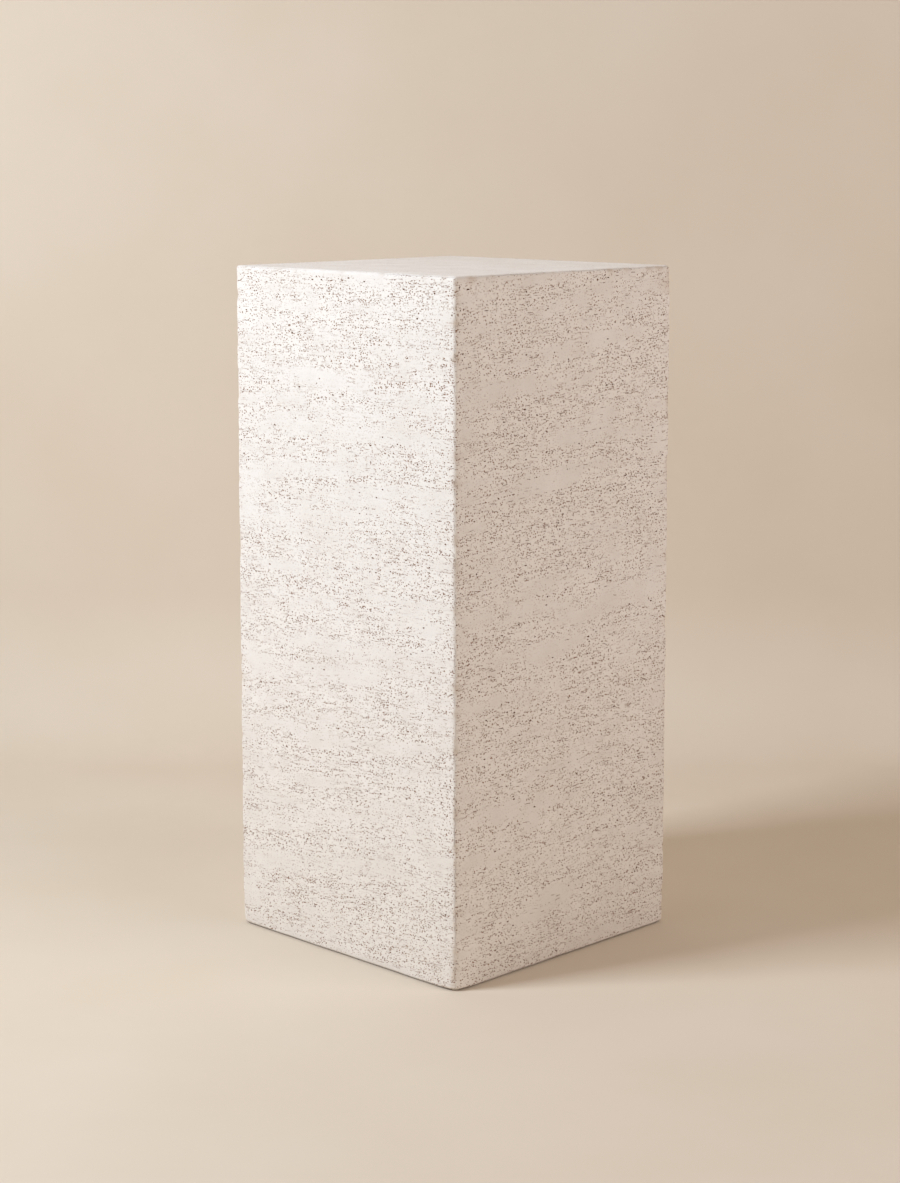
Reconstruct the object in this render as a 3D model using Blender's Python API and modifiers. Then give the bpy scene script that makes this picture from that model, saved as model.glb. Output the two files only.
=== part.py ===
"""Square plinth cast in one piece: four plain faces and a flat top over a hollow that is open below.

Metres, +Z up. The origin is on the floor, under the middle of the plinth.
"""

import bmesh
import bpy

# Driving sizes, in metres
SIDE = 0.350  # width of each of the four faces
HEIGHT = 0.770  # from the floor to the top face
RIM_WALL = 0.012  # thickness of a side wall at the open rim, where it is thinnest
TOP_SLAB = 0.016  # thickness of the slab under the top face
CORE_DRAFT = 0.003  # how far each inner face leans in between the rim and the slab
ARRIS_RADIUS = 0.004  # rounding of every outer edge
CORE_FILLET = 0.012  # rounding of the hollow's inside corners

# Flat steps around each rounding
ARRIS_STEPS = 6
CORE_STEPS = 6

# Finish of the cast face: off-white lime-washed cement, dull
STONE_HEX = "E9E2D8"
STONE_ROUGHNESS = 0.85
STONE_METALLIC = 0.0


def linear_colour(hex_code):
    """Linear red, green, blue and alpha of an sRGB hex colour."""
    channels = [int(hex_code[at : at + 2], 16) / 255 for at in (0, 2, 4)]
    curve = [c / 12.92 if c <= 0.04045 else ((c + 0.055) / 1.055) ** 2.4 for c in channels]
    return (*curve, 1.0)


def clear_scene():
    """Remove whatever the file holds before the plinth is made."""
    for old in list(bpy.data.objects):
        bpy.data.objects.remove(old, do_unlink=True)


def new_collection(name):
    """A named collection, linked into the scene."""
    collection = bpy.data.collections.new(name)
    bpy.context.scene.collection.children.link(collection)
    return collection


def cast_stone():
    """Pale, dull cast stone."""
    material = bpy.data.materials.new("cast_stone")
    material.use_nodes = True
    shader = material.node_tree.nodes["Principled BSDF"]
    shader.inputs["Base Color"].default_value = linear_colour(STONE_HEX)
    shader.inputs["Roughness"].default_value = STONE_ROUGHNESS
    shader.inputs["Metallic"].default_value = STONE_METALLIC
    return material


def block(name, half_width_at, low, high, collection):
    """A square block from low to high, whose half width at a height is half_width_at(height)."""
    shape = bmesh.new()
    bmesh.ops.create_cube(shape, size=2.0)
    for corner in shape.verts:
        height = high if corner.co.z > 0 else low
        corner.co.x *= half_width_at(height)
        corner.co.y *= half_width_at(height)
        corner.co.z = height
    mesh = bpy.data.meshes.new(name)
    shape.to_mesh(mesh)
    shape.free()
    made = bpy.data.objects.new(name, mesh)
    collection.objects.link(made)
    return made


def round_edges(piece, radius, steps):
    """Round every edge of a block to the radius."""
    rounding = piece.modifiers.new("rounding", "BEVEL")
    rounding.width = radius
    rounding.segments = steps
    rounding.limit_method = "NONE"
    rounding.use_clamp_overlap = True


def casting_core(collection):
    """The hollow's shape, which leans in a little towards the top so that the mould's core draws out.

    It runs on below the rim by twice its own rounding, so its lower edges stay outside the casting.
    """
    ceiling = HEIGHT - TOP_SLAB
    lean = CORE_DRAFT / ceiling
    core = block(
        "casting_core",
        lambda height: SIDE / 2 - RIM_WALL - lean * height,
        -2 * CORE_FILLET,
        ceiling,
        collection,
    )
    round_edges(core, CORE_FILLET, CORE_STEPS)
    core.hide_render = True
    core.display_type = "WIRE"
    return core


def plinth(collection, core):
    """The casting: a square block with softened arrises, hollowed from below."""
    body = block("plinth", lambda height: SIDE / 2, 0.0, HEIGHT, collection)
    round_edges(body, ARRIS_RADIUS, ARRIS_STEPS)
    hollow = body.modifiers.new("hollow", "BOOLEAN")
    hollow.operation = "DIFFERENCE"
    hollow.solver = "EXACT"
    hollow.object = core
    body.data.materials.append(cast_stone())
    return body


clear_scene()
plinth(new_collection("decorative_plinth"), casting_core(new_collection("cutters")))
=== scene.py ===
import math

import bmesh
import bpy
import numpy as np
from mathutils.geometry import delaunay_2d_cdt
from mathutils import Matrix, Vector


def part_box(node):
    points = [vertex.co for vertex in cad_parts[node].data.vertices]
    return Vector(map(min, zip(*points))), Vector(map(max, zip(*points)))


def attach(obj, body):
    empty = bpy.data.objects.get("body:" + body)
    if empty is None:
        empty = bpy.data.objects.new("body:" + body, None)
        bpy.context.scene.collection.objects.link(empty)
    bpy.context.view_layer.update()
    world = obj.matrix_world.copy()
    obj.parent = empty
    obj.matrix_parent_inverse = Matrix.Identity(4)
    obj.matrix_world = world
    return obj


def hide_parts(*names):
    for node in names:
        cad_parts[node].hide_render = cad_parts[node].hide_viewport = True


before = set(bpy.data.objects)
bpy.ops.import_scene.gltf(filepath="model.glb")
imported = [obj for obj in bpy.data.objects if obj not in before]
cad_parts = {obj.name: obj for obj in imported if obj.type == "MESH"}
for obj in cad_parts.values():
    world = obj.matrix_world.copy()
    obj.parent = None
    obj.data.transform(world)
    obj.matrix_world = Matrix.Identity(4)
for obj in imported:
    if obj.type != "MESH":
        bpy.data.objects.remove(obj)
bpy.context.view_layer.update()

# The block. The plinth is one casting of pale cement, made in a square mould, so its five outer faces are
# flat. The arrises are rounded by the mould, bruised here and there by handling, and rubbed rounder at the
# floor corners.
SEED = 41
low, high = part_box("plinth")
SIDE = high.x - low.x
HEIGHT = high.z
HALF = SIDE / 2
ARRIS_RADIUS = 0.004
ARRIS_DRIFT = 0.0005  # how far the rounding wanders along an arris
DRIFT_WAVES = ((61, 47, 83), (23, -31, 37))  # two crossed waves, in radians a metre along X, Y and Z
UPRIGHT_RADIUS = 0.005  # the most that the top and bottom edges are rounded upright
WORN_CORNERS = ((1, -1, 0.012), (1, 1, 0.007), (-1, 1, 0.007), (-1, -1, 0.0065))  # side in X, in Y, radius
WORN_HEIGHT = 0.032  # how far up an arris the wear of its floor corner fades
WORN_REACH = 1.5  # how far it fades in plan, in its own radii
BRUISES = 300
BRUISE_REACH = (0.0022, 0.0055)
BRUISE_DEPTH = (0.0003, 0.0022)
UPRIGHT_BRUISES = 0.75  # the share of them on the upright arrises

# each outer face: its first corner, the way its width runs, the way its height runs, its width and height
FACES = {
    "front": ((-HALF, -HALF, 0), (1, 0, 0), (0, 0, 1), SIDE, HEIGHT),
    "right": ((HALF, -HALF, 0), (0, 1, 0), (0, 0, 1), SIDE, HEIGHT),
    "back": ((HALF, HALF, 0), (-1, 0, 0), (0, 0, 1), SIDE, HEIGHT),
    "left": ((-HALF, HALF, 0), (0, -1, 0), (0, 0, 1), SIDE, HEIGHT),
    "top": ((-HALF, -HALF, HEIGHT), (1, 0, 0), (0, 1, 0), SIDE, SIDE),
    "rim": ((-HALF, HALF, 0), (1, 0, 0), (0, -1, 0), SIDE, SIDE),
}


def bruise_places(count, rng):
    """Places on the arrises: a random corner of the plan, at a random height, or for one in four a random
    share of the way along a top edge."""
    corner = rng.choice((-HALF, HALF), (count, 2))
    share = rng.uniform(-1, 1, count)
    upright = np.column_stack([corner, (share + 1) / 2 * HEIGHT])
    along_x = np.column_stack([share * HALF, corner[:, 1], np.full(count, HEIGHT)])
    along_y = np.column_stack([corner[:, 0], share * HALF, np.full(count, HEIGHT)])
    pick = rng.random((count, 1))
    on_top = np.where(pick < (1 + UPRIGHT_BRUISES) / 2, along_x, along_y)
    return np.where(pick < UPRIGHT_BRUISES, upright, on_top)


bruise_rng = np.random.default_rng(SEED)
bruises = bruise_places(BRUISES, bruise_rng)
bruise_reach = bruise_rng.uniform(*BRUISE_REACH, BRUISES)
bruise_depth = bruise_rng.uniform(*BRUISE_DEPTH, BRUISES)


def bruising(points):
    """How much the bruises add to the rounding at points of the sharp block: a bell curve round each."""
    added = np.zeros(len(points))
    for place, reach, depth in zip(bruises, bruise_reach, bruise_depth):
        added += depth * np.exp(-((points - place) ** 2).sum(1) / reach**2)
    return added


def edge_radius(points):
    """The rounding at points of the sharp block: the arris radius, plus the drift times the sines of two
    crossed waves, plus the bruising, plus the wear of each floor corner, which fades with height and with
    distance in plan."""
    x, y, z = points.T
    one, two = (a * x + b * y + c * z for a, b, c in DRIFT_WAVES)
    radius = ARRIS_RADIUS + ARRIS_DRIFT * np.sin(one) * np.sin(two)
    radius += bruising(points)
    for side_x, side_y, worn in WORN_CORNERS:
        away = np.hypot(x - side_x * HALF, y - side_y * HALF)
        fade = np.exp(-((z / WORN_HEIGHT) ** 2) - (away / (WORN_REACH * worn)) ** 4)
        radius += (worn - ARRIS_RADIUS) * fade
    return radius


def rounded(points, depth):
    """Points of the sharp block, moved onto the rounded one and sunk by depth. The block shrunk by the
    radius is a core: each point goes to where the way out from the nearest point of the core meets the
    rounding."""
    radius = edge_radius(points)[:, None]
    radius = np.hstack([radius, radius, np.minimum(radius, UPRIGHT_RADIUS)])
    lowest, highest = np.array([-HALF, -HALF, 0]), np.array([HALF, HALF, HEIGHT])
    core = np.clip(points, lowest + radius, highest - radius)
    way = (points - core) / radius
    way /= np.linalg.norm(way, axis=1)[:, None]
    outward = way / radius
    outward /= np.linalg.norm(outward, axis=1)[:, None]
    return core + radius * way - outward * depth[:, None]


# The pits. Air trapped against the mould's rough lining leaves small pits and short cracks in nearly level
# beds, as in travertine, and thin lime filler closes some beds. A pit is 1 to 4 mm wide and up to 2 mm deep,
# and a crack is up to 15 mm long.
BED_WAVE = 0.009  # how far a bed wanders up and down
BED_WAVE_CELL = (0.11, 0.07)  # across and up
# rise of the beds over their run, at the floor and at the top
BED_TILT = {
    "front": (0.090, 0.008),
    "right": (0.030, 0.090),
    "back": (0.040, 0.020),
    "left": (0.020, 0.060),
    "top": (0, 0),
}
# the share of the pits that is modelled, fewer on the sides that the hand seldom reaches
PITTING = {"front": 1.0, "right": 1.0, "back": 0.30, "left": 0.30, "top": 0.10}
# depth of a pit over its half height: more wash ran into the pits of the front than of the right side
PIT_DEPTH = {"front": 1.3, "right": 2.4, "back": 1.8, "left": 1.8, "top": 1.3}
# how bare of wash the pits are, and on the right side, which is in shade, painted shade too: its pits, marks
# # and bruises are drawn darker
BARE_AND_SHADE = {"front": 0.90, "right": 1.5, "back": 1.0, "left": 1.0, "top": 0.80}
# the broad, middling and thin noise of the crowding: its share, and the length and height of its cells
CROWD_NOISE = ((0.16, 0.210, 0.026), (0.32, 0.120, 0.0085), (0.52, 0.070, 0.0036))
CROWD_START = 0.39  # of the total that counts as no crowding
CROWD_SPAN = 0.30  # from there to full crowding
FLOOR_MORE = 0.06  # how much is added at the floor
FLOOR_FADE = 0.30  # the height where nothing is
# the lenses that stand out: place across and up, half length and half height, and how much more crowded,
# # or less where filler closed them. They were marked on the photo, most were placed on the faces
# # through the fitted camera, and the places were then rounded to half a centimetre.
LENSES = {
    "front": (
        (0.03, 0.74, 0.020, 0.020, 0.16),
        (0.17, 0.74, 0.040, 0.010, 0.14),
        (0.30, 0.75, 0.050, 0.010, 0.24),
        (0.055, 0.555, 0.040, 0.005, 0.24),
        (0.26, 0.56, 0.055, 0.008, 0.34),
        (0.27, 0.52, 0.025, 0.005, 0.26),
        (0.25, 0.45, 0.020, 0.006, 0.16),
        (0.23, 0.385, 0.050, 0.020, 0.20),
        (0.255, 0.32, 0.030, 0.014, 0.18),
        (0.21, 0.23, 0.055, 0.006, 0.20),
        (0.27, 0.06, 0.080, 0.024, 0.20),
        (0.225, 0.76, 0.025, 0.020, -0.26),
        (0.12, 0.64, 0.080, 0.020, -0.16),
        (0.10, 0.49, 0.070, 0.022, -0.14),
        (0.225, 0.355, 0.035, 0.006, -0.22),
    ),
    "right": (
        (0.325, 0.72, 0.025, 0.020, 0.22),
        (0.10, 0.74, 0.045, 0.009, 0.26),
        (0.20, 0.62, 0.080, 0.007, 0.28),
        (0.035, 0.685, 0.035, 0.008, 0.20),
        (0.08, 0.59, 0.060, 0.008, 0.20),
        (0.27, 0.54, 0.070, 0.007, 0.20),
        (0.125, 0.47, 0.055, 0.014, 0.20),
        (0.025, 0.35, 0.020, 0.024, 0.20),
        (0.12, 0.28, 0.022, 0.007, 0.20),
        (0.14, 0.24, 0.045, 0.011, 0.28),
        (0.30, 0.245, 0.040, 0.009, 0.28),
        (0.03, 0.235, 0.030, 0.017, 0.16),
        (0.15, 0.31, 0.050, 0.007, -0.24),
        (0.075, 0.27, 0.027, 0.009, -0.24),
        (0.19, 0.225, 0.027, 0.012, -0.24),
        (0.12, 0.17, 0.030, 0.014, -0.24),
    ),
}


def soft_noise(x, y, cell_x, cell_y, seed):
    """Random heights from 0 to 1 at the corners of a lattice of cells, joined by a smooth step each way."""
    size = 128
    lattice = np.random.default_rng(seed).random((size, size))
    column, across = np.divmod(x / cell_x, 1)
    row, up = np.divmod(y / cell_y, 1)
    column, row = column.astype(int) % size, row.astype(int) % size
    next_column, next_row = (column + 1) % size, (row + 1) % size
    across, up = across**2 * (3 - 2 * across), up**2 * (3 - 2 * up)
    lower = lattice[row, column] * (1 - across) + lattice[row, next_column] * across
    upper = lattice[next_row, column] * (1 - across) + lattice[next_row, next_column] * across
    return lower * (1 - up) + upper * up


def bed_at(face, number, across, up):
    """The bed that a place lies in: its height, less the tilt there times its distance across, less a slow
    wave."""
    at_floor, at_top = BED_TILT[face]
    tilt = at_floor + (at_top - at_floor) * np.clip(up / HEIGHT, 0, 1)
    wave = soft_noise(across, up, *BED_WAVE_CELL, SEED + 20 + number) - 0.5
    return up - tilt * across - BED_WAVE * wave


def crowding(face, number, across, bed):
    """How crowded with pits a place is, from 0 to 1: broad, middling and thin soft noise, each in long flat
    cells like the beds, added up, raised towards the floor, raised or lowered by a bell curve over each
    lens, and stretched so that crowded places change with smooth ones."""
    total = sum(
        share * soft_noise(across, bed, length, height, SEED + 30 + 10 * step + number)
        for step, (share, length, height) in enumerate(CROWD_NOISE)
    )
    total = total + FLOOR_MORE * np.clip(1 - bed / FLOOR_FADE, 0, 1)
    for centre, height, reach, rise, more in LENSES.get(face, ()):
        level = bed_at(face, number, np.array([centre]), np.array([height]))
        total += more * np.exp(-(((across - centre) / reach) ** 2) - ((bed - level) / rise) ** 2)
    return np.clip((total - CROWD_START) / CROWD_SPAN, 0, 1)


CELL_WIDE = 0.0044  # room for one pit along its bed
CELL_HIGH = 0.0032  # and across it
STEEPEST = 0.12  # more than the tilt of any bed
FOOT_STRIP = 0.006  # the lowest strip was filled smooth
CROWN_STRIP = 0.0030  # and so was the highest one of a side
ARRIS_STRIP = 0.0010  # whole stone between a pit and an arris
CRACK_RUNS = ((4, 0.008), (3, 0.018), (2, 0.046))  # cells that a crack takes, and the chance for each cell
CRACK_CROWDING = (0.15, 1.4)  # the chance's factor in a smooth place, and what full crowding adds to it
PIT_CROWDING = (0.02, 0.30)  # the chance of a pit in a smooth place, and what full crowding adds to it
VEIN_LENGTH = 0.110
VEIN_LEVEL = 0.88  # a vein runs where its noise is higher
VEIN_CRACK, VEIN_PIT = 0.3, 0.42  # chances of a crack and a pit in a vein
VEIN_STRAY = 0.2  # how far from their line those of a vein stray, as a share of the others' way
CRACK_LENGTH = (0.50, 0.85)  # as a share of the cells it takes
CRACK_HEIGHT = (0.00028, 0.00048)  # half of it, as the sizes below are
CRACK_SHIFT, CRACK_TURN, CRACK_BEND = 0.0004, 0.09, 0.14
MOST_BEND = 1.6  # times a crack's height over its length
STOUT = 0.25  # the share of the shortest cracks that are wide pits
STOUT_LENGTH, STOUT_HEIGHT = (0.0013, 0.0021), (0.0007, 0.0011)
WIDER = 0.15  # the share of the single pits that are wider
WIDER_LENGTH, SINGLE_LENGTH = (0.0010, 0.0014), (0.00050, 0.00090)
SINGLE_HEIGHT = (0.60, 0.95)  # as a share of its length
SINGLE_TURN = 0.3
DEPTH_SPREAD = (0.75, 1.25)
DEEPEST = 0.0020


def scatter_pits(face, number, wide, tall):
    """One face's pits, a row each: place across and up, half length, half height, turn, bend, depth and
    kind. The face is cut into cells along its beds. Runs of 4, 3 and 2 free cells take cracks, then single
    cells take pits, with a chance that grows with the crowding."""
    rng = np.random.default_rng(SEED + 60 + number)
    margin = STEEPEST * wide + BED_WAVE
    columns, rows = int(wide / CELL_WIDE), int((tall + 2 * margin) / CELL_HIGH)
    column, row = np.meshgrid(np.arange(columns), np.arange(rows))
    # every other row is set off by half a cell
    across = (column + 0.25 + 0.5 * (row % 2)) * CELL_WIDE
    bed = (row + 0.5) * CELL_HIGH - margin
    crowd = crowding(face, number, across, bed)
    share = PITTING[face]
    # a vein is about one cell high
    vein = soft_noise(across, bed, VEIN_LENGTH, 1.01 * CELL_HIGH, SEED + 70 + number) > VEIN_LEVEL
    taken = np.zeros((rows, columns), bool)
    made = []
    for cells, chance in CRACK_RUNS:
        free = column + cells <= columns
        for step in range(cells):
            free &= ~np.roll(taken, -step, 1)
        free &= (column + 3 * row) % cells == 0
        smooth, more = CRACK_CROWDING
        wanted = np.where(vein, VEIN_CRACK, cells * chance * (smooth + more * crowd)) * share
        chosen = free & (rng.random((rows, columns)) < wanted)
        for step in range(cells):
            taken |= np.roll(chosen, step, 1)
        place = np.nonzero(chosen)
        count = len(place[0])
        length = cells * CELL_WIDE / 2 * rng.uniform(*CRACK_LENGTH, count)
        height = rng.uniform(*CRACK_HEIGHT, count)
        stout = rng.random(count) < (STOUT if cells == 2 else 0)
        length = np.where(stout, rng.uniform(*STOUT_LENGTH, count), length)
        height = np.where(stout, rng.uniform(*STOUT_HEIGHT, count), height)
        centre = across[place] + (cells - 1) / 2 * CELL_WIDE + rng.normal(0, CRACK_SHIFT, count)
        stray = rng.uniform(-1, 1, count) * (CELL_HIGH / 2 - height)
        level = bed[place] + stray * np.where(vein[place], VEIN_STRAY, 1)
        turn = rng.normal(0, CRACK_TURN, count)
        bend = rng.normal(0, CRACK_BEND, count)
        # a slender crack bends little, so that its floor stays inside its mouth
        bend = np.clip(bend, -MOST_BEND * height / length, MOST_BEND * height / length)
        made.append(np.column_stack([centre, level, length, height, turn, bend, height, 3 - stout]))
    smooth, more = PIT_CROWDING
    wanted = np.where(vein, VEIN_PIT, smooth + more * crowd) * share
    single = ~taken & (rng.random((rows, columns)) < wanted)
    place = np.nonzero(single)
    count = len(place[0])
    wider = rng.random(count) < WIDER
    length = np.where(wider, rng.uniform(*WIDER_LENGTH, count), rng.uniform(*SINGLE_LENGTH, count))
    height = length * rng.uniform(*SINGLE_HEIGHT, count)
    centre = across[place] + rng.uniform(-1, 1, count) * (CELL_WIDE / 2 - length)
    stray = rng.uniform(-1, 1, count) * (CELL_HIGH / 2 - height)
    level = bed[place] + stray * np.where(vein[place], VEIN_STRAY, 1)
    turn = rng.normal(0, SINGLE_TURN, count)
    made.append(np.column_stack([centre, level, length, height, turn, 0 * turn, height, wider]))
    pits = np.concatenate(made)
    depth = PIT_DEPTH[face] * pits[:, 6] * rng.uniform(*DEPTH_SPREAD, len(pits))
    pits[:, 6] = np.minimum(depth, DEEPEST)
    # the height whose bed is the pit's own, closed in on by repeats
    level = pits[:, 1].copy()
    for _ in range(5):
        pits[:, 1] += level - bed_at(face, number, pits[:, 0], pits[:, 1])
    foot, crown = (ARRIS_STRIP, ARRIS_STRIP) if face == "top" else (FOOT_STRIP, CROWN_STRIP)
    keep = (pits[:, 0] > pits[:, 2] + ARRIS_STRIP) & (pits[:, 0] < wide - pits[:, 2] - ARRIS_STRIP)
    keep &= (pits[:, 1] > foot + 2 * pits[:, 3]) & (pits[:, 1] < tall - crown - 2 * pits[:, 3])
    return pits[keep]


# for each kind of pit: the points round its mouth, and the points of its floor as shares of its half sizes
PIT_KINDS = {
    0: (5, [(0.05, -0.05)]),
    1: (6, [(-0.35, 0.05), (0.35, -0.05)]),
    2: (8, [(-0.50, 0.10), (0.00, -0.45), (0.50, -0.05), (0.05, 0.45)]),
    3: (8, [(-0.62, 0.0), (0.0, 0.0), (0.60, 0.0)]),
}
MOUTH_SHAKE = 0.28  # how far a point of a mouth leaves its place in the ring, in steps of the ring
MOUTH_RAGGED = (0.80, 1.12)
FLOOR_DEPTH = (0.75, 1.0)  # as a share of the pit's depth


def pit_points(pits, rng):
    """Points of the pits, how deep each lies, its share of the full depth, and the closed mouths as pairs
    of points. A mouth is a ragged ring. A place in a pit is scaled by its half sizes, lifted by the bend
    times what the square of its run over the half length has above a third of that length, turned, and
    moved to the pit's place."""
    places, depths, shares, mouths, first = [], [], [], [], 0
    for kind, (around, floor) in PIT_KINDS.items():
        some = pits[pits[:, 7] == kind]
        centre, level, length, height, turn, bend, deepest = some[:, :7].T[:, :, None]
        each = around + len(floor)
        shake = rng.uniform(-MOUTH_SHAKE, MOUTH_SHAKE, (len(some), around))
        angle = (np.arange(around) + shake) * 2 * np.pi / around
        ragged = rng.uniform(*MOUTH_RAGGED, (len(some), around))
        shape = np.empty((len(some), each, 2))
        shape[:, :around, 0] = np.cos(angle) * ragged
        shape[:, :around, 1] = np.sin(angle) * ragged
        shape[:, around:] = floor
        run = shape[:, :, 0] * length
        rise = shape[:, :, 1] * height + bend * (run**2 / length - length / 3)
        across = centre + run * np.cos(turn) - rise * np.sin(turn)
        up = level + run * np.sin(turn) + rise * np.cos(turn)
        share = np.zeros((len(some), each))
        share[:, around:] = rng.uniform(*FLOOR_DEPTH, (len(some), len(floor)))
        places.append(np.stack([across, up], 2).reshape(-1, 2))
        shares.append(share.ravel())
        depths.append((share * deepest).ravel())
        start = first + each * np.arange(len(some))[:, None]
        ring = np.arange(around)
        mouths.append(np.stack([start + ring, start + (ring + 1) % around], 2).reshape(-1, 2))
        first += each * len(some)
    return np.concatenate(places), np.concatenate(depths), np.concatenate(shares), np.concatenate(mouths)


def clear_of(points, pits, room):
    """Which points lie outside every pit's ellipse with room added to both half sizes. The pits are taken
    about 400 at a time, to spare memory."""
    clear = np.ones(len(points), bool)
    for some in np.array_split(pits, 1 + len(pits) // 400):
        away = (points[:, None] - some[None, :, :2]) / (some[None, :, 2:4] + room)
        clear &= ((away**2).sum(2) > 1).all(1)
    return clear


# The skin. Each outer face is a net of triangles over the points of its edges, its pits and a loose
# lattice. The points lie where the pits are and not on a grid, which would need ten times as many.
EDGE_STEP = 0.0037
# insets in radii of the lines along an arris, 15 degrees apart on its rounding
EDGE_LINES = (0.0, 0.423, 0.732, 1.0)
LATTICE = 0.015
LATTICE_INSET = 1.8  # in arris radii
LATTICE_SHAKE = 0.6  # in steps of the lattice
FLAT_INSET = 1.2  # in arris radii, the least for any point inside the edge's lines
WORN_LINES = (0.0058, 0.0078, 0.0102, 0.0135)  # more lines beside an arris, at the worn corners
WORN_STEP = 0.005


def edge_points(wide, tall):
    """Points along a face's outline and along three lines inside it, on which the rounding turns. The
    outline's points divide each side evenly, so that two faces share them."""
    rings = []
    for inset in (line * ARRIS_RADIUS for line in EDGE_LINES):
        across = np.linspace(0, wide, round(wide / EDGE_STEP) + 1)
        up = np.linspace(0, tall, round(tall / EDGE_STEP) + 1)
        across = np.clip(across, inset, wide - inset)[1:-1]
        up = np.clip(up, inset, tall - inset)[1:-1]
        corners = [(x, y) for x in (inset, wide - inset) for y in (inset, tall - inset)]
        rings.append(
            np.concatenate([
                corners,
                *(np.column_stack([across, np.full(len(across), y)]) for y in (inset, tall - inset)),
                *(np.column_stack([np.full(len(up), x), up]) for x in (inset, wide - inset)),
            ])
        )
    return rings[0], np.unique(np.round(np.concatenate(rings[1:]), 7), axis=0)


def lattice_points(wide, tall, rng):
    """Points of a shaken lattice over a face, and of short lines up both arrises from the floor corners."""
    inner = LATTICE_INSET * ARRIS_RADIUS
    steps_across, steps_up = np.arange(inner, wide - inner, LATTICE), np.arange(inner, tall - inner, LATTICE)
    across, up = np.meshgrid(steps_across, steps_up)
    loose = np.column_stack([across.ravel(), up.ravel()])
    loose += rng.uniform(0, LATTICE_SHAKE * LATTICE, loose.shape)
    beside = np.array(WORN_LINES)
    worn_up = np.concatenate([beside, np.arange(beside[-1] + WORN_STEP, 2 * WORN_HEIGHT, WORN_STEP)])
    across, up = np.meshgrid(np.concatenate([beside, wide - beside]), worn_up)
    both = np.concatenate([loose, np.column_stack([across.ravel(), up.ravel()])])
    flat_from = FLAT_INSET * ARRIS_RADIUS
    inside = (both > flat_from) & (both < np.array([wide, tall]) - flat_from)
    return both[inside.all(1)]


def net(points, ties, same_place=1e-7, no_area=1e-13):
    """Triangles that join each point to its nearest neighbours and keep the ties as sides, less those with
    no area. Where two ties cross, the net adds a point. Returns the points, the triangles, and for each
    point its number before, or -1."""
    made, _, triangles, before, _, _ = delaunay_2d_cdt(points.tolist(), ties.tolist(), [], 0, same_place)
    triangles = np.array(triangles)
    made = np.array([tuple(point) for point in made])
    one, two, three = (made[triangles[:, side]] for side in range(3))
    area = np.cross(two - one, three - one)
    triangles = triangles[np.abs(area) > no_area]
    area = area[np.abs(area) > no_area]
    triangles[area < 0] = triangles[area < 0][:, ::-1]
    return made, triangles, np.array([numbers[0] if numbers else -1 for numbers in before])


def on_block(face, flat):
    """Places on a face as points of the sharp block."""
    corner, wide_way, tall_way, _, _ = FACES[face]
    return np.array(corner) + flat[:, :1] * np.array(wide_way) + flat[:, 1:] * np.array(tall_way)


EDGE_ROOM = 0.0003  # between a pit and a point of the edge's lines
LATTICE_ROOM = 0.0025  # between a pit and a point of the lattice
NIBBLED = 0.45  # how crowded the upright arrises are at the least
NIBBLED_WIDTH = 1.05  # in arris radii
FULL_BRUISE = 0.0015  # what a bruise adds to the rounding where it is wholly bare


def outer_face(face, number):
    """One of the five outer faces as a patch: places on the flat face, points, finish and triangles. The
    finish of a point is its depth share, its crowding, its bed and how bruised it is. All but the bed are
    scaled by the side's bareness, which on the right side, in shade, also paints shade into them."""
    wide, tall = FACES[face][3:]
    rng = np.random.default_rng(SEED + 80 + number)
    pits = scatter_pits(face, number, wide, tall)
    places, depth, share, mouths = pit_points(pits, rng)
    outline, rounding = edge_points(wide, tall)
    loose = lattice_points(wide, tall, rng)
    rounding = rounding[clear_of(rounding, pits, EDGE_ROOM)]
    loose = loose[clear_of(loose, pits, LATTICE_ROOM)]
    others = np.concatenate([outline, rounding, loose])
    flat, triangles, before = net(np.concatenate([places, others]), mouths)
    blank = np.zeros(len(others) + 1)
    depth = np.concatenate([depth, blank])[before]
    share = np.concatenate([share, blank])[before]
    bed = bed_at(face, number, flat[:, 0], flat[:, 1])
    crowd = PITTING[face] ** 0.5 * crowding(face, number, flat[:, 0], bed)
    if face != "top":
        # the upright arrises are nibbled all the way up
        beside = np.minimum(flat[:, 0], wide - flat[:, 0])
        crowd = np.maximum(crowd, NIBBLED * (beside < NIBBLED_WIDTH * ARRIS_RADIUS))
    sharp = on_block(face, flat)
    bruised = np.clip(bruising(sharp) / FULL_BRUISE, 0, 1)
    # the side's bareness is also painted shade: on the right side, in shade, pits, marks and bruises are
    # drawn darker
    bare = BARE_AND_SHADE[face]
    finish = np.column_stack([bare * share, bare * crowd, bed, bare * bruised])
    return flat, rounded(sharp, depth), finish, triangles


# The rim and the hollow. The mould's core leaves a hollow open below, with walls of 12 mm that thicken a
# little upwards so that the core draws out, rounded corners, and the rough skin of cement that nobody
# smoothed.
RIM_WALL = 0.012
TOP_SLAB = 0.016
CORE_DRAFT = 0.003  # how far each wall leans in from the rim to the slab
CORE_FILLET = 0.012
RIM_BREAK = 0.0008  # the rim's inner edge is broken by this much
CORE_BUMP = 0.0005  # how uneven the inner skin is
BUMP_CELL = (0.05, 0.045)  # round the core and up
CORE_ROUND = 1.3  # the way round the core
SIDE_POINTS = 20
CORNER_POINTS = 5


def core_ring(half, fillet):
    """A closed ring round the core, first point repeated: four straight sides, rounded corners between."""
    straight = np.linspace(-1, 1, SIDE_POINTS) * (half - fillet)
    angle = np.linspace(0, np.pi / 2, CORNER_POINTS + 2)[1:-1]
    bottom = np.column_stack([straight, np.full(SIDE_POINTS, -half)])
    quarter_circle = np.column_stack([np.sin(angle), -np.cos(angle)])
    corner = (half - fillet) * np.array([1, -1]) + fillet * quarter_circle
    turns = [np.concatenate([bottom, corner])]
    for _ in range(3):
        turns.append(np.column_stack([-turns[-1][:, 1], turns[-1][:, 0]]))
    ring = np.concatenate(turns)
    return np.concatenate([ring, ring[:1]])


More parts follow.
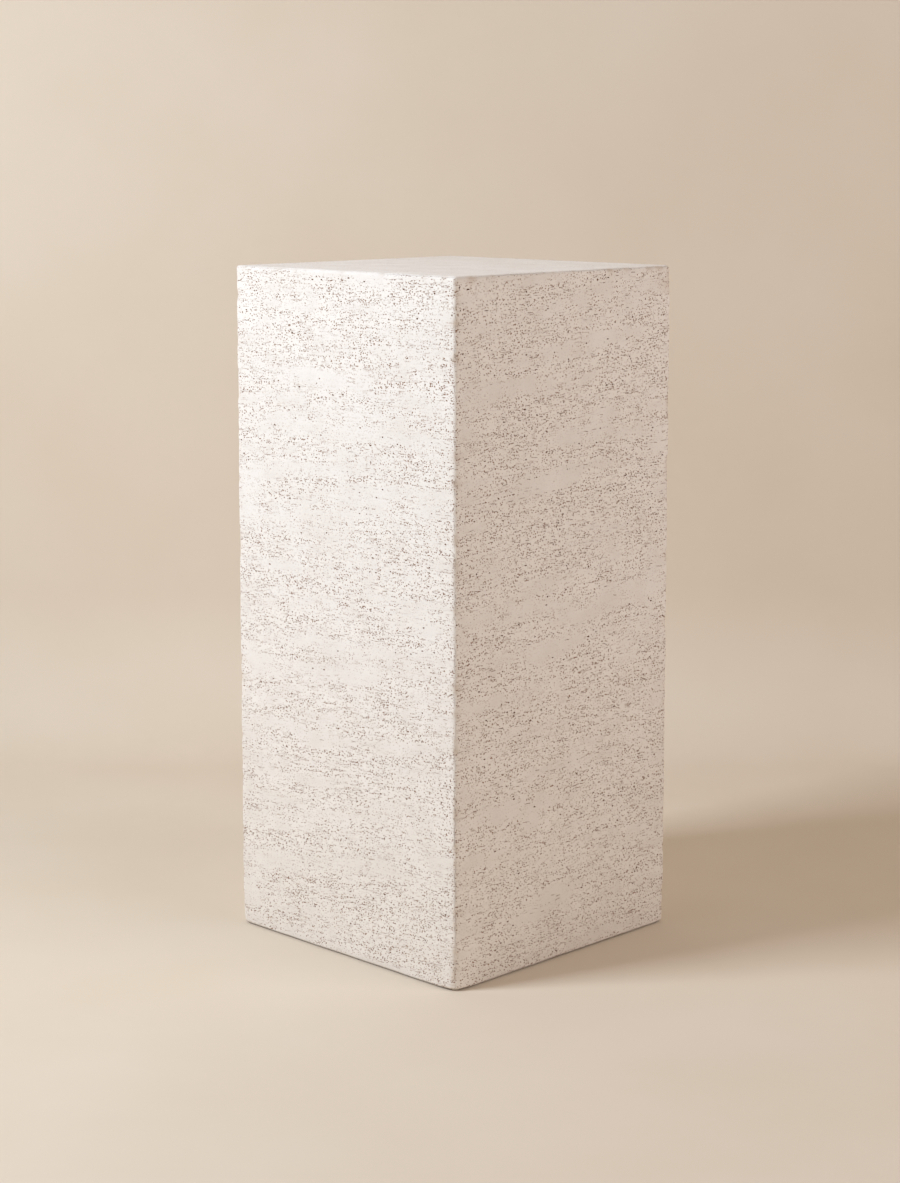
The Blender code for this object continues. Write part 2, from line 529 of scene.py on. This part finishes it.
def rim_face():
    """The flat ring that the plinth stands on, as a patch: a net over the whole square, less the triangles
    inside the core's ring."""
    wide, tall = FACES["rim"][3:]
    outline, rounding = edge_points(wide, tall)
    opening = HALF - RIM_WALL + RIM_BREAK
    mouth = core_ring(opening, CORE_FILLET)[:-1] * np.array([1, -1]) + HALF
    numbers = np.arange(len(mouth))
    ties = np.column_stack([numbers, np.roll(numbers, -1)])
    flat, triangles, _ = net(np.concatenate([mouth, outline, rounding]), ties)
    middle = np.abs(flat[triangles].mean(1) - HALF)
    beyond = np.maximum(middle - (opening - CORE_FILLET), 0)
    inside = np.hypot(*beyond.T) < CORE_FILLET
    points = rounded(on_block("rim", flat), np.zeros(len(flat)))
    return flat, points, np.zeros((len(flat), 4)), triangles[~inside]


def hollow_levels(first=0.012, last_half=0.006, wall_rings=30, fillet_rings=5, ceiling_rings=8):
    """Half width, fillet and height of each ring of the core: straight up the leaning wall, round the
    quarter circle under the slab, then in to the middle of the ceiling."""
    ceiling = HEIGHT - TOP_SLAB
    up = np.concatenate([[0, RIM_BREAK], np.linspace(first, ceiling - CORE_FILLET, wall_rings)])
    half = HALF - RIM_WALL - CORE_DRAFT * up / ceiling
    half[0] += RIM_BREAK
    angle = np.linspace(0, np.pi / 2, fillet_rings + 1)[1:]
    fillet_half = half[-1] - CORE_FILLET * (1 - np.cos(angle))
    fillet_up = ceiling - CORE_FILLET + CORE_FILLET * np.sin(angle)
    inward = np.linspace(fillet_half[-1], last_half, ceiling_rings + 1)[1:]
    halves = np.concatenate([half, fillet_half, inward])
    heights = np.concatenate([up, fillet_up, np.full(len(inward), ceiling)])
    return halves, np.minimum(CORE_FILLET, 0.5 * halves), heights


def hollow_face():
    """The hollow's skin as a patch: a grid of core rings, uneven by soft noise, closed by a triangle fan."""
    halves, fillets, heights = hollow_levels()
    rings = np.array([core_ring(half, fillet) for half, fillet in zip(halves, fillets)])
    levels, around = rings.shape[:2]
    points = np.concatenate([rings, np.broadcast_to(heights[:, None, None], (levels, around, 1))], 2)
    turn = np.broadcast_to(np.linspace(0, 1, around), (levels, around))
    up = np.broadcast_to(heights[:, None], (levels, around - 1))
    bump = soft_noise(turn[:, :-1] * CORE_ROUND, up, *BUMP_CELL, SEED + 90) - 0.5
    bump = np.concatenate([bump, bump[:, :1]], 1) * 2 * CORE_BUMP
    bump[:3] = 0  # the rings at the rim stay true
    points[:, :, :2] *= 1 + bump[:, :, None] / halves[:, None, None]
    corner = np.arange(levels * around).reshape(levels, around)
    one, two, three, four = corner[:-1, :-1], corner[:-1, 1:], corner[1:, 1:], corner[1:, :-1]
    lower = np.stack([one, two, three], 2).reshape(-1, 3)
    upper = np.stack([one, three, four], 2).reshape(-1, 3)
    fan = np.stack([corner[-1, :-1], corner[-1, 1:], np.full(around - 1, levels * around)], 1)
    triangles = np.concatenate([lower, upper, fan])
    points = np.concatenate([points.reshape(-1, 3), [(0, 0, heights[-1])]])
    flat = np.column_stack([np.append(turn.ravel(), 0.5), points[:, 2]])
    return flat, points, np.zeros((len(points), 4)), triangles[:, ::-1]


# The casting is put together from its patches, welded where they meet, and laid out flat on one square
# sheet for its finish: the four sides, the top, and in the gaps the hollow's walls, its ceiling and the rim.
SHEET = 1.2
SHEET_GAP = 0.005
RIM_STRIP = 0.045
WALL_STRIP = 0.100
WALL_SQUEEZE = 0.98
WELD = 1e-5
SHARP_ANGLE = math.radians(24)


def on_sheet(face, flat, points):
    """Places on the sheet, from 0 to 1. The left side lies across, and what lies in the gaps is squeezed."""
    across, up = flat.T
    column = SIDE + 2 * SHEET_GAP
    first_row = HEIGHT + 2 * SHEET_GAP
    if face == "right":
        across = across + column
    elif face == "back":
        across = across + 2 * column
    elif face == "left":
        across, up = up, SIDE - across + first_row
    elif face == "top":
        across, up = across + first_row, up + first_row
    elif face == "rim":
        across, up = across / SIDE * RIM_STRIP + HEIGHT + SIDE + 4 * SHEET_GAP, up + first_row
    elif face == "hollow":
        ceiling = points[:, 2] >= HEIGHT - TOP_SLAB - WELD
        ceiling_up = (points[:, 1] + HALF) / SIDE * RIM_STRIP + first_row + SIDE + SHEET_GAP
        across = np.where(ceiling, points[:, 0] + HALF, across * WALL_STRIP + 3 * column)
        up = np.where(ceiling, ceiling_up, up * WALL_SQUEEZE)
    return (np.column_stack([across, up]) + SHEET_GAP) / SHEET


def build_casting(name):
    """One closed mesh of all patches, with each point's finish as four attributes."""
    outer = ("front", "right", "back", "left", "top")
    patches = {face: outer_face(face, number) for number, face in enumerate(outer)}
    patches["rim"] = rim_face()
    patches["hollow"] = hollow_face()
    points = np.concatenate([patch[1] for patch in patches.values()])
    starts = np.cumsum([0] + [len(patch[1]) for patch in patches.values()])
    triangles = np.concatenate([patch[3] + start for patch, start in zip(patches.values(), starts)])
    sheet = np.concatenate([on_sheet(face, patch[0], patch[1]) for face, patch in patches.items()])
    raw = np.concatenate([np.full(len(patch[3]), face == "hollow") for face, patch in patches.items()])
    finish = np.concatenate([patch[2] for patch in patches.values()])
    mesh = bpy.data.meshes.new(name)
    mesh.from_pydata(points.tolist(), [], triangles.tolist())
    mesh.uv_layers.new(name="OFBake").data.foreach_set("uv", sheet[triangles.ravel()].ravel())
    mesh.polygons.foreach_set("material_index", raw.astype(np.int32))
    for title, values in zip(("pit_depth", "crowding", "bed", "bruised"), finish.T):
        mesh.attributes.new(title, "FLOAT", "POINT").data.foreach_set("value", values)
    shape = bmesh.new()
    shape.from_mesh(mesh)
    bmesh.ops.remove_doubles(shape, verts=shape.verts, dist=WELD)
    bmesh.ops.recalc_face_normals(shape, faces=shape.faces)
    shape.to_mesh(mesh)
    shape.free()
    mesh.shade_smooth()
    mesh.set_sharp_from_angle(angle=SHARP_ANGLE)
    casting = bpy.data.objects.new(name, mesh)
    bpy.context.scene.collection.objects.link(casting)
    return casting


casting = build_casting("cast_plinth")


def colour(hex_code):
    """Linear red, green, blue and alpha of an sRGB hex colour."""
    channels = [int(hex_code[at : at + 2], 16) / 255 for at in (0, 2, 4)]
    return (*(c / 12.92 if c <= 0.04045 else ((c + 0.055) / 1.055) ** 2.4 for c in channels), 1.0)


def add(tree, kind, inputs=None, **settings):
    """Add a node with its settings. An input is a value, or another node's output, which is linked to it."""
    made = tree.nodes.new(kind)
    for name, value in settings.items():
        setattr(made, name, value)
    for name, value in (inputs or {}).items():
        if isinstance(value, bpy.types.NodeSocket):
            tree.links.new(value, made.inputs[name])
        else:
            made.inputs[name].default_value = value
    return made


# Lime-washed cast stone. The ground face is brushed with thin white lime and rubbed back, so it is dull and
# nearly white, clouded, faintly banded along the beds, and tan in the pits, where the wash hasn't reached.
# Painted shade darkens the foot where the rounding meets the floor, and the pits and marks of the right
# side, which is in shade.
CLOUD = 0.045
BAND = (0.11, 0.11, 0.012)
SPLASH_HEIGHT = 0.40
CONTACT_SHADE_HEIGHT = (0.0012, 0.0034)  # where the painted contact shade starts to fade, and where it is gone
UNSHADED_RIM = (0.0002, 0.0008)  # the same for the rim, from its last unshaded height to the full painted shade
PINHOLES = (0.0030, 0.0030, 0.0022)
CRACKS = (0.010, 0.010, 0.0013)
ROWS = (0.045, 0.045, 0.003)
GRAIN = 0.0020


def lime_washed_stone():
    """One colour over another, each by its own share from 0 to 1: the ground by the brush's noise, bands by
    the beds' noise, lime by the crowding, bare stone by the bruising, tan by height, a painted contact
    shadow by height, lips of lime by the distance from a pinhole, and the pits' colour by the greater of
    pinholes and modelled depth. The pinholes and cracks count by the crowding too, and sink the surface
    under a fine grain."""
    material = bpy.data.materials.new("lime_washed_stone")
    material.use_nodes = True
    tree = material.node_tree
    shader = tree.nodes["Principled BSDF"]
    place = add(tree, "ShaderNodeTexCoord").outputs["Object"]
    pit = add(tree, "ShaderNodeAttribute", attribute_name="pit_depth").outputs["Fac"]
    crowd = add(tree, "ShaderNodeAttribute", attribute_name="crowding").outputs["Fac"]
    bed = add(tree, "ShaderNodeAttribute", attribute_name="bed").outputs["Fac"]
    bruised = add(tree, "ShaderNodeAttribute", attribute_name="bruised").outputs["Fac"]
    # places measured along the beds, so that whatever is long and flat follows them
    apart = add(tree, "ShaderNodeSeparateXYZ", {0: place})
    height = apart.outputs[2]
    in_bed = add(tree, "ShaderNodeCombineXYZ", {0: apart.outputs[0], 1: apart.outputs[1], 2: bed}).outputs[0]
    # clouds of the brush, about 45 mm across
    cloud = add(
        tree, "ShaderNodeTexNoise", {"Vector": place, "Scale": 1 / CLOUD, "Detail": 3.0}
    ).outputs["Fac"]
    cloud = add(
        tree, "ShaderNodeMapRange", {"Value": cloud, "From Min": 0.35, "From Max": 0.65}
    ).outputs["Result"]
    ground = add(
        tree, "ShaderNodeMix", {0: cloud, 6: colour("EBE6E1"), 7: colour("F1EDE9")}, data_type="RGBA"
    ).outputs[2]
    # beds 12 mm thick and 110 mm long
    band = add(
        tree, "ShaderNodeMapping", {"Vector": in_bed, "Scale": [1 / size for size in BAND]}
    ).outputs[0]
    band = add(
        tree, "ShaderNodeTexNoise", {"Vector": band, "Scale": 1.0, "Detail": 4.0, "Roughness": 0.6}
    ).outputs["Fac"]
    band = add(
        tree, "ShaderNodeMapRange", {"Value": band, "From Min": 0.42, "From Max": 0.72, "To Max": 0.10}
    ).outputs["Result"]
    banded = add(
        tree, "ShaderNodeMix", {0: band, 6: ground, 7: colour("DCD0C2")}, data_type="RGBA"
    ).outputs[2]
    # lime stays thick on the ridges between the pits of a crowded bed
    limed = add(
        tree, "ShaderNodeMapRange", {"Value": crowd, "From Min": 0.1, "From Max": 0.9, "To Max": 0.40}
    ).outputs["Result"]
    ridged = add(
        tree, "ShaderNodeMix", {0: limed, 6: banded, 7: colour("F9F5F0")}, data_type="RGBA"
    ).outputs[2]
    # the wash is knocked off the bruises of the arrises
    bare = add(tree, "ShaderNodeMath", {0: bruised, 1: 0.40}, operation="MULTIPLY").outputs[0]
    rubbed = add(
        tree, "ShaderNodeMix", {0: bare, 6: ridged, 7: colour("C9B49F")}, data_type="RGBA"
    ).outputs[2]
    # the lowest 400 mm are tanned by splashes and mopping
    splash = add(
        tree,
        "ShaderNodeMapRange",
        {"Value": height, "From Min": 0.0, "From Max": SPLASH_HEIGHT, "To Min": 0.14, "To Max": 0.0},
    ).outputs["Result"]
    tanned = add(
        tree, "ShaderNodeMix", {0: splash, 6: rubbed, 7: colour("D0B898")}, data_type="RGBA"
    ).outputs[2]
    # painted shade: a dark brown contact shadow where the rounding meets the floor, none on the rim itself
    full, gone = CONTACT_SHADE_HEIGHT
    contact_shade = add(
        tree,
        "ShaderNodeMapRange",
        {"Value": height, "From Min": full, "From Max": gone, "To Min": 0.60, "To Max": 0.0},
    ).outputs["Result"]
    unshaded, full = UNSHADED_RIM
    off_rim = add(
        tree, "ShaderNodeMapRange", {"Value": height, "From Min": unshaded, "From Max": full}
    ).outputs["Result"]
    contact_shade = add(tree, "ShaderNodeMath", {0: contact_shade, 1: off_rim}, operation="MULTIPLY").outputs[0]
    contact_shaded = add(
        tree, "ShaderNodeMix", {0: contact_shade, 6: tanned, 7: colour("34210F")}, data_type="RGBA"
    ).outputs[2]
    # pinholes 1 mm wide and 3 mm apart, too many to model, thickest in the crowded beds, each with a lip of
    # lime
    squat = add(
        tree, "ShaderNodeMapping", {"Vector": in_bed, "Scale": [1 / size for size in PINHOLES]}
    ).outputs[0]
    off_hole = add(tree, "ShaderNodeTexVoronoi", {"Vector": squat, "Scale": 1.0}).outputs["Distance"]
    holes = add(
        tree,
        "ShaderNodeMapRange",
        {"Value": off_hole, "From Min": 0.21, "From Max": 0.39, "To Min": 1.0, "To Max": 0.0},
        interpolation_type="SMOOTHSTEP",
    ).outputs["Result"]
    lip = add(
        tree,
        "ShaderNodeMapRange",
        {"Value": off_hole, "From Min": 0.2, "From Max": 0.6, "To Min": 0.45, "To Max": 0.0},
    ).outputs["Result"]
    # closed cracks along the beds, about 8 mm long and 0.7 mm wide
    drawn = add(
        tree, "ShaderNodeMapping", {"Vector": in_bed, "Scale": [1 / size for size in CRACKS]}
    ).outputs[0]
    cracks = add(tree, "ShaderNodeTexNoise", {"Vector": drawn, "Scale": 1.0, "Detail": 2.0}).outputs["Fac"]
    cracks = add(
        tree, "ShaderNodeMapRange", {"Value": cracks, "From Min": 0.60, "From Max": 0.68, "To Max": 0.45}
    ).outputs["Result"]
    marks = add(tree, "ShaderNodeMath", {0: holes, 1: cracks}, operation="MAXIMUM").outputs[0]
    # both lie in rows 3 mm high and 45 mm long
    rows = add(
        tree, "ShaderNodeMapping", {"Vector": in_bed, "Scale": [1 / size for size in ROWS]}
    ).outputs[0]
    rows = add(tree, "ShaderNodeTexNoise", {"Vector": rows, "Scale": 1.0, "Detail": 1.0}).outputs["Fac"]
    rows = add(
        tree, "ShaderNodeMapRange", {"Value": rows, "From Min": 0.40, "From Max": 0.56, "To Min": 0.40}
    ).outputs["Result"]
    marks = add(tree, "ShaderNodeMath", {0: marks, 1: rows}, operation="MULTIPLY").outputs[0]
    open_bed = add(
        tree, "ShaderNodeMapRange", {"Value": crowd, "From Min": 0.0, "From Max": 0.60, "To Min": 0.12}
    ).outputs["Result"]
    marks = add(tree, "ShaderNodeMath", {0: marks, 1: open_bed}, operation="MULTIPLY").outputs[0]
    lip = add(tree, "ShaderNodeMath", {0: lip, 1: open_bed}, operation="MULTIPLY").outputs[0]
    lipped = add(
        tree, "ShaderNodeMix", {0: lip, 6: contact_shaded, 7: colour("FFFBF6")}, data_type="RGBA"
    ).outputs[2]
    # the modelled pits and the marks share the colour that the wash hasn't reached; on the right side, which
    # # is in shade, both are scaled up as painted shade
    in_pit = add(
        tree, "ShaderNodeMapRange", {"Value": pit, "From Min": 0.03, "From Max": 0.50}
    ).outputs["Result"]
    hollow = add(tree, "ShaderNodeMath", {0: marks, 1: in_pit}, operation="MAXIMUM").outputs[0]
    pitted = add(
        tree, "ShaderNodeMix", {0: hollow, 6: lipped, 7: colour("865530")}, data_type="RGBA"
    ).outputs[2]
    tree.links.new(pitted, shader.inputs["Base Color"])
    rough = add(
        tree, "ShaderNodeMapRange", {"Value": hollow, "To Min": 0.82, "To Max": 0.95}
    ).outputs["Result"]
    tree.links.new(rough, shader.inputs["Roughness"])
    shader.inputs["Specular IOR Level"].default_value = 0.25
    # sand in the wash, about 1 mm, too fine to show, so its grain is drawn 2 mm wide
    grain = add(
        tree, "ShaderNodeTexNoise", {"Vector": place, "Scale": 1 / GRAIN, "Detail": 2.0}
    ).outputs["Fac"]
    fine = add(tree, "ShaderNodeBump", {"Height": grain, "Distance": 0.0002, "Strength": 1.0}).outputs[0]
    sunk = add(tree, "ShaderNodeMath", {0: marks, 1: -1.0}, operation="MULTIPLY").outputs[0]
    bump = add(
        tree, "ShaderNodeBump", {"Height": sunk, "Distance": 0.0004, "Strength": 1.0, "Normal": fine}
    ).outputs[0]
    tree.links.new(bump, shader.inputs["Normal"])
    return material


# Raw cement, the back of the casting. It is grey-buff and coarse, with trowel clouds, and it took no wash.
TROWEL_CLOUD = 0.060
GRIT = 0.004
GRIT_HEIGHT = 0.0012


def raw_cement():
    """Two buffs mixed by the trowel's noise, under grey specks where the grit's noise is high. The same
    grit raises the surface."""
    material = bpy.data.materials.new("raw_cement")
    material.use_nodes = True
    tree = material.node_tree
    shader = tree.nodes["Principled BSDF"]
    place = add(tree, "ShaderNodeTexCoord").outputs["Object"]
    cloud = add(
        tree, "ShaderNodeTexNoise", {"Vector": place, "Scale": 1 / TROWEL_CLOUD, "Detail": 4.0}
    ).outputs["Fac"]
    cloud = add(
        tree, "ShaderNodeMapRange", {"Value": cloud, "From Min": 0.3, "From Max": 0.7}
    ).outputs["Result"]
    base = add(
        tree, "ShaderNodeMix", {0: cloud, 6: colour("B9AD9D"), 7: colour("CFC5B7")}, data_type="RGBA"
    ).outputs[2]
    grit = add(
        tree, "ShaderNodeTexNoise", {"Vector": place, "Scale": 1 / GRIT, "Detail": 4.0}
    ).outputs["Fac"]
    speck = add(
        tree, "ShaderNodeMapRange", {"Value": grit, "From Min": 0.60, "From Max": 0.75, "To Max": 0.5}
    ).outputs["Result"]
    specked = add(
        tree, "ShaderNodeMix", {0: speck, 6: base, 7: colour("8E8374")}, data_type="RGBA"
    ).outputs[2]
    tree.links.new(specked, shader.inputs["Base Color"])
    rough = add(
        tree, "ShaderNodeMapRange", {"Value": cloud, "To Min": 0.88, "To Max": 0.96}
    ).outputs["Result"]
    tree.links.new(rough, shader.inputs["Roughness"])
    bump = add(
        tree, "ShaderNodeBump", {"Height": grit, "Distance": GRIT_HEIGHT, "Strength": 1.0}
    ).outputs[0]
    tree.links.new(bump, shader.inputs["Normal"])
    return material


casting.data.materials.append(lime_washed_stone())
casting.data.materials.append(raw_cement())
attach(casting, "root")
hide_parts("plinth")

# The studio. A sheet of warm plaster runs along the floor and sweeps up behind. Its back is see-through,
# and a square is left out under the plinth, so that the plinth shows from behind and from below as well.
VIEW_TURN = math.radians(44.55)  # the camera's place round the plinth
SWEEP_START = 0.72
SWEEP_RADIUS = 0.22
SWEEP_STEPS = 16
SHEET_REACH = 4.0
SHEET_TOP = 3.4
HOLE_CELL = 0.26  # half width of the floor cell that the square is cut from
HOLE = HALF - 0.006  # half width of the square, which ends under the flat of the rim


def studio_sheet():
    """A profile along the floor, round a quarter circle and up, carried across the view. In the floor cell
    under the plinth, two triangles join each side of the cell to the corners of the square left out."""
    angle = np.linspace(0, np.pi / 2, SWEEP_STEPS + 1)[1:]
    floor_lines = [-SHEET_REACH, -HOLE_CELL, HOLE_CELL, SWEEP_START]
    away = np.concatenate([floor_lines, SWEEP_START + SWEEP_RADIUS * np.sin(angle)])
    up = np.concatenate([np.zeros(len(floor_lines)), SWEEP_RADIUS * (1 - np.cos(angle))])
    away, up = np.append(away, away[-1]), np.append(up, SHEET_TOP)
    across = np.array([-SHEET_REACH, -HOLE_CELL, HOLE_CELL, SHEET_REACH])
    side, back = np.meshgrid(across, away)
    height = np.broadcast_to(up[:, None], side.shape)
    turn_cos, turn_sin = math.cos(VIEW_TURN), math.sin(VIEW_TURN)
    x, y = side * turn_cos - back * turn_sin, side * turn_sin + back * turn_cos
    points = np.stack([x, y, height], 2).reshape(-1, 3)
    corner = np.arange(len(points)).reshape(side.shape)
    faces = np.stack([corner[:-1, :-1], corner[:-1, 1:], corner[1:, 1:], corner[1:, :-1]], 2)
    under_plinth = np.zeros(faces.shape[:2], bool)
    under_plinth[1, 1] = True
    cell = faces[1, 1]
    square = len(points) + np.arange(4)
    points = np.concatenate([points, HOLE * np.array([(1, -1, 0), (1, 1, 0), (-1, 1, 0), (-1, -1, 0)])])
    next_cell, next_square = np.roll(cell, -1), np.roll(square, -1)
    joined = np.concatenate([
        np.column_stack([cell, next_cell, square]), np.column_stack([next_cell, next_square, square])
    ])
    mesh = bpy.data.meshes.new("studio_sheet")
    mesh.from_pydata(points.tolist(), [], faces[~under_plinth].tolist() + joined.tolist())
    mesh.shade_smooth()
    sheet = bpy.data.objects.new("studio_sheet", mesh)
    bpy.context.scene.collection.objects.link(sheet)
    return sheet


# Warm matt plaster, clouded by the float in patches of about 0.3 m.
FLOAT_CLOUD = 0.3


def studio_plaster():
    """Two warm whites mixed by the float's noise on the front of the sheet, and nothing on its back."""
    material = bpy.data.materials.new("studio_plaster")
    material.use_nodes = True
    tree = material.node_tree
    shader = tree.nodes["Principled BSDF"]
    place = add(tree, "ShaderNodeTexCoord").outputs["Object"]
    cloud = add(
        tree, "ShaderNodeTexNoise", {"Vector": place, "Scale": 1 / FLOAT_CLOUD, "Detail": 5.0}
    ).outputs["Fac"]
    cloud = add(
        tree, "ShaderNodeMapRange", {"Value": cloud, "From Min": 0.3, "From Max": 0.7}
    ).outputs["Result"]
    base = add(
        tree, "ShaderNodeMix", {0: cloud, 6: colour("DBCEBC"), 7: colour("DFD3C3")}, data_type="RGBA"
    ).outputs[2]
    tree.links.new(base, shader.inputs["Base Color"])
    shader.inputs["Roughness"].default_value = 0.9
    behind = add(tree, "ShaderNodeNewGeometry").outputs["Backfacing"]
    clear = add(tree, "ShaderNodeBsdfTransparent").outputs[0]
    mixed = add(tree, "ShaderNodeMixShader", {0: behind, 1: shader.outputs[0], 2: clear}).outputs[0]
    tree.links.new(mixed, tree.nodes["Material Output"].inputs["Surface"])
    return material


sheet = studio_sheet()
sheet.data.materials.append(studio_plaster())

# The light. A wide soft lamp stands high on the left, its light a little cooler than the walls. A larger
# and weaker one fills from the right, and the room gives back a weak warm light from all round.
scene = bpy.context.scene
scene.view_settings.view_transform = "Standard"
LAMP_AIM = (0, 0, 0.4)
ROOM_STRENGTH = 0.26


def soft_lamp(name, place, width, power, tint):
    """A square lamp at a place, turned to the lamps' aim."""
    lamp = bpy.data.lights.new(name, "AREA")
    lamp.size = width
    lamp.energy = power
    lamp.color = colour(tint)[:3]
    holder = bpy.data.objects.new(name, lamp)
    x, y, z = np.array(place) - np.array(LAMP_AIM)
    holder.location = place
    holder.rotation_euler = (math.atan2(math.hypot(x, y), z), 0, math.atan2(y, x) + math.pi / 2)
    scene.collection.objects.link(holder)


soft_lamp("key_lamp", place=(-0.849, -2.100, 2.046), width=0.85, power=69.5, tint="EAF4FF")
soft_lamp("fill_lamp", place=(2.276, 0.610, 1.499), width=1.6, power=23.0, tint="FFFAFC")
world = bpy.data.worlds.new("room_light")
world.use_nodes = True
world.node_tree.nodes["Background"].inputs["Color"].default_value = colour("FFE4C5")
world.node_tree.nodes["Background"].inputs["Strength"].default_value = ROOM_STRENGTH
scene.world = world

# The camera stands off the front arris, a little above the top, with a long lens. Its sensor's width lies
# along the picture's height, the longer side.
CAMERA_AWAY = 2.7895
CAMERA_HEIGHT = 0.903
CAMERA_DOWN = math.radians(7.58)
CAMERA_YAW = math.radians(0.08)
CAMERA_SHIFT = -0.10  # in picture heights
FOCAL_PIXELS = 2452
FRAME_HEIGHT = 1183
camera_data = bpy.data.cameras.new("camera")
camera_data.sensor_width = 36
camera_data.lens = camera_data.sensor_width * FOCAL_PIXELS / FRAME_HEIGHT
camera_data.shift_y = CAMERA_SHIFT
camera = bpy.data.objects.new("camera", camera_data)
camera.location = (CAMERA_AWAY * math.sin(VIEW_TURN), -CAMERA_AWAY * math.cos(VIEW_TURN), CAMERA_HEIGHT)
camera.rotation_euler = (math.pi / 2 - CAMERA_DOWN, 0, VIEW_TURN + CAMERA_YAW)
scene.collection.objects.link(camera)
scene.camera = camera
